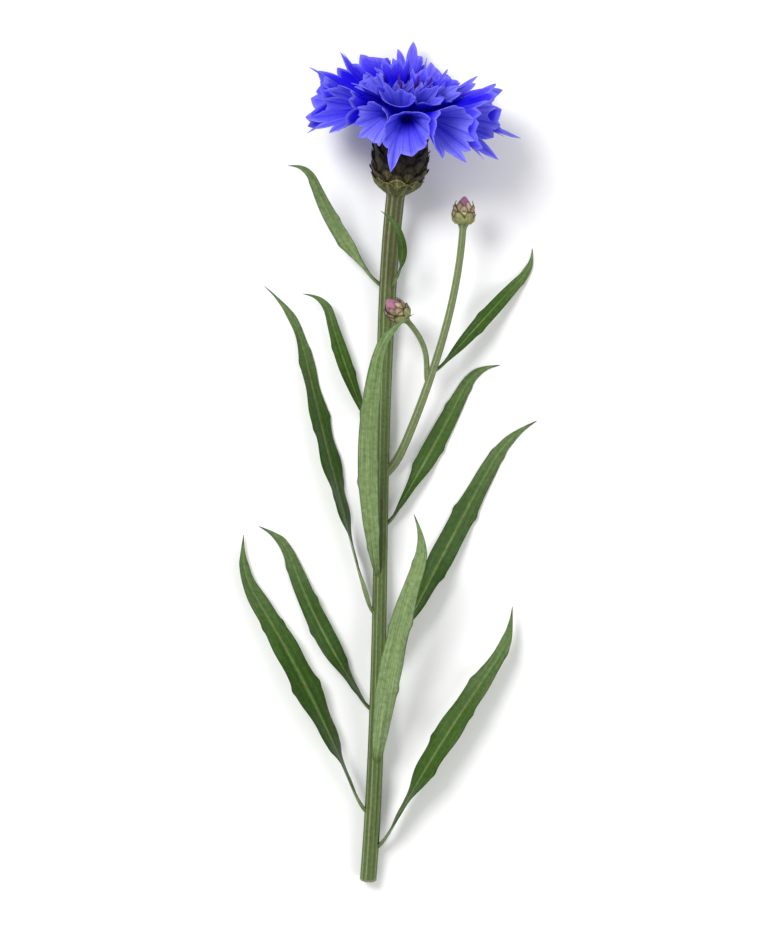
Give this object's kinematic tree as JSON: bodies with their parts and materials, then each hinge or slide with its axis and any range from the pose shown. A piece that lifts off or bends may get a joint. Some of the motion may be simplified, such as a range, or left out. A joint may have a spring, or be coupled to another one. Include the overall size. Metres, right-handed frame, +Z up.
{
  "type": "cut cornflower stem",
  "caption": "Picked cornflower lying down: blue ragged flower head on a slim curved stem with narrow leaves and a small side shoot of buds.",
  "frame": {"origin": "middle of the underside of the bounding box, on the surface the flower lies on", "axes": "+Y along the stem towards the flower head, +Z up away from the surface"},
  "size_m": [0.0648, 0.1804, 0.0333],
  "materials": {
    "stem": "matt, slightly woolly green stem",
    "leaf": "matt green leaf",
    "bract": "matt dark green to black scales",
    "bud": "matt purple bud",
    "floret": "soft matt blue petal",
    "floret_heart": "soft matt deep blue petal"
  },
  "bodies": {
    "root": {"stem": "stem", "receptacle": "bract", "bracts_1": "bract", "bracts_2": "bract", "bracts_3": "bract", "bracts_4": "bract", "bracts_5": "bract", "ray_floret_01": "floret", "ray_floret_02": "floret", "ray_floret_03": "floret", "ray_floret_04": "floret", "ray_floret_05": "floret", "ray_floret_06": "floret", "ray_floret_07": "floret", "ray_floret_08": "floret", "ray_floret_09": "floret", "ray_floret_10": "floret", "ray_floret_11": "floret", "ray_floret_12": "floret", "inner_floret_01": "floret", "inner_floret_02": "floret", "inner_floret_03": "floret", "inner_floret_04": "floret", "inner_floret_05": "floret", "inner_floret_06": "floret", "inner_floret_07": "floret", "inner_floret_08": "floret", "disc_floret_01": "floret_heart", "disc_floret_02": "floret_heart", "disc_floret_03": "floret_heart", "disc_floret_04": "floret_heart", "disc_floret_05": "floret_heart", "disc_floret_06": "floret_heart", "middle_floret_01": "floret_heart", "middle_floret_02": "floret_heart", "middle_floret_03": "floret_heart", "middle_floret_04": "floret_heart", "leaf_1": "leaf", "leaf_2": "leaf", "leaf_3": "leaf", "leaf_4": "leaf", "leaf_5": "leaf", "leaf_6": "leaf", "leaf_7": "leaf", "leaf_8": "leaf", "leaf_9": "leaf", "leaf_10": "leaf", "leaf_11": "leaf", "shoot_stem": "stem", "shoot_leaf": "leaf", "bud_stalk": "stem", "tip_bud_core": "bud", "tip_bud_bracts_1": "bract", "tip_bud_bracts_2": "bract", "side_bud_core": "bud", "side_bud_bracts_1": "bract", "side_bud_bracts_2": "bract"}
  },
  "joints": []
}
